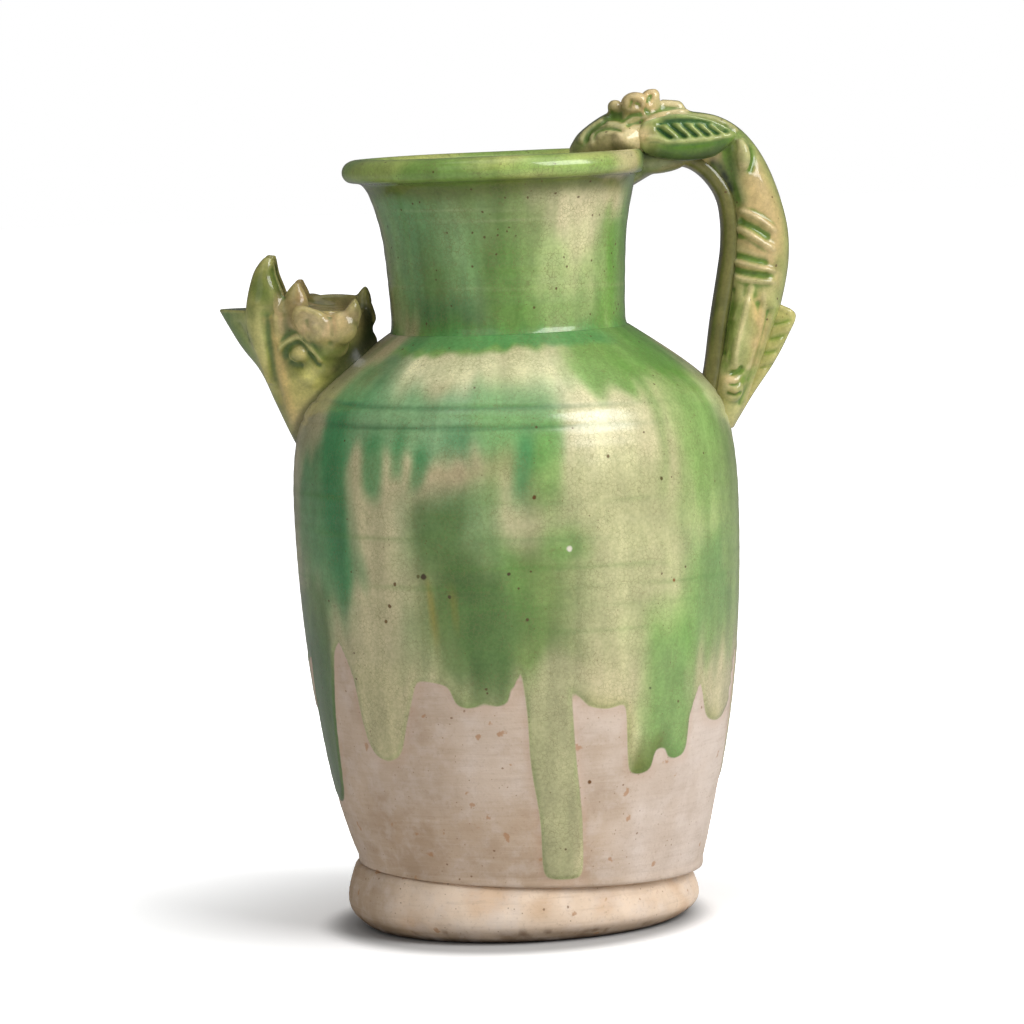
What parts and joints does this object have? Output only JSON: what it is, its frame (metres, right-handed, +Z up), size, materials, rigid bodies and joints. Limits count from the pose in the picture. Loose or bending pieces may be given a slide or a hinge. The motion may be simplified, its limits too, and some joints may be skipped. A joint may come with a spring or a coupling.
{
  "type": "ewer",
  "caption": "Glazed earthenware ewer with a flared neck, a dragon-head pouring spout on the shoulder and an arched dragon handle that bites the rim.",
  "frame": {"origin": "on the axis of the thrown vessel, in the plane of the flat base it stands on", "axes": "+Z up, -X towards the pouring spout, +X towards the handle, Y across the plane of spout and handle"},
  "size_m": [0.1898, 0.1472, 0.273],
  "materials": {
    "bare_clay": "unglazed pinkish-buff earthenware, dry and matt, worn at the edge",
    "body_glaze": "runny green and cream lead glaze over buff clay, finely crackled, bare below the drips",
    "neck_glaze": "green and cream lead glaze, glossy and finely crackled",
    "spout_glaze": "olive green lead glaze, glossy, darker in the hollows",
    "spout_trim_glaze": "straw-coloured lead glaze, glossy, thin on the edges",
    "strap_glaze": "olive brown lead glaze, glossy",
    "beast_glaze": "tan lead glaze with green in the recesses, glossy",
    "beast_trim_glaze": "green lead glaze, thin and pale on the ribs, glossy"
  },
  "bodies": {
    "root": {"foot": "bare_clay", "body": "body_glaze", "neck": "neck_glaze", "spout_head": "spout_glaze", "spout_comb": "spout_glaze", "spout_tusk_left": "spout_glaze", "spout_tusk_right": "spout_glaze", "spout_flange_left": "spout_trim_glaze", "spout_flange_right": "spout_trim_glaze", "spout_tooth_left": "spout_trim_glaze", "spout_tooth_right": "spout_trim_glaze", "spout_eye_left": "spout_trim_glaze", "spout_eye_right": "spout_trim_glaze", "spout_brow_left": "spout_trim_glaze", "spout_brow_right": "spout_trim_glaze", "handle_strap": "strap_glaze", "dragon_body": "beast_glaze", "dragon_head": "beast_glaze", "dragon_crest": "beast_glaze", "dragon_eye_left": "beast_glaze", "dragon_eye_right": "beast_glaze", "dragon_nostril_left": "beast_glaze", "dragon_nostril_right": "beast_glaze", "ear_stub_left": "beast_glaze", "ear_stub_right": "beast_glaze", "ear_fin_left": "beast_trim_glaze", "ear_fin_right": "beast_trim_glaze", "foreleg_left": "beast_trim_glaze", "foreleg_right": "beast_trim_glaze", "flank_rib_1_left": "beast_glaze", "flank_rib_2_left": "beast_glaze", "flank_rib_3_left": "beast_glaze", "flank_rib_4_left": "beast_glaze", "flank_rib_1_right": "beast_glaze", "flank_rib_2_right": "beast_glaze", "flank_rib_3_right": "beast_glaze", "flank_rib_4_right": "beast_glaze", "hind_leg_left": "beast_glaze", "hind_leg_right": "beast_glaze", "claw_left": "beast_trim_glaze", "claw_right": "beast_trim_glaze", "tail_fin": "beast_trim_glaze"}
  },
  "joints": []
}
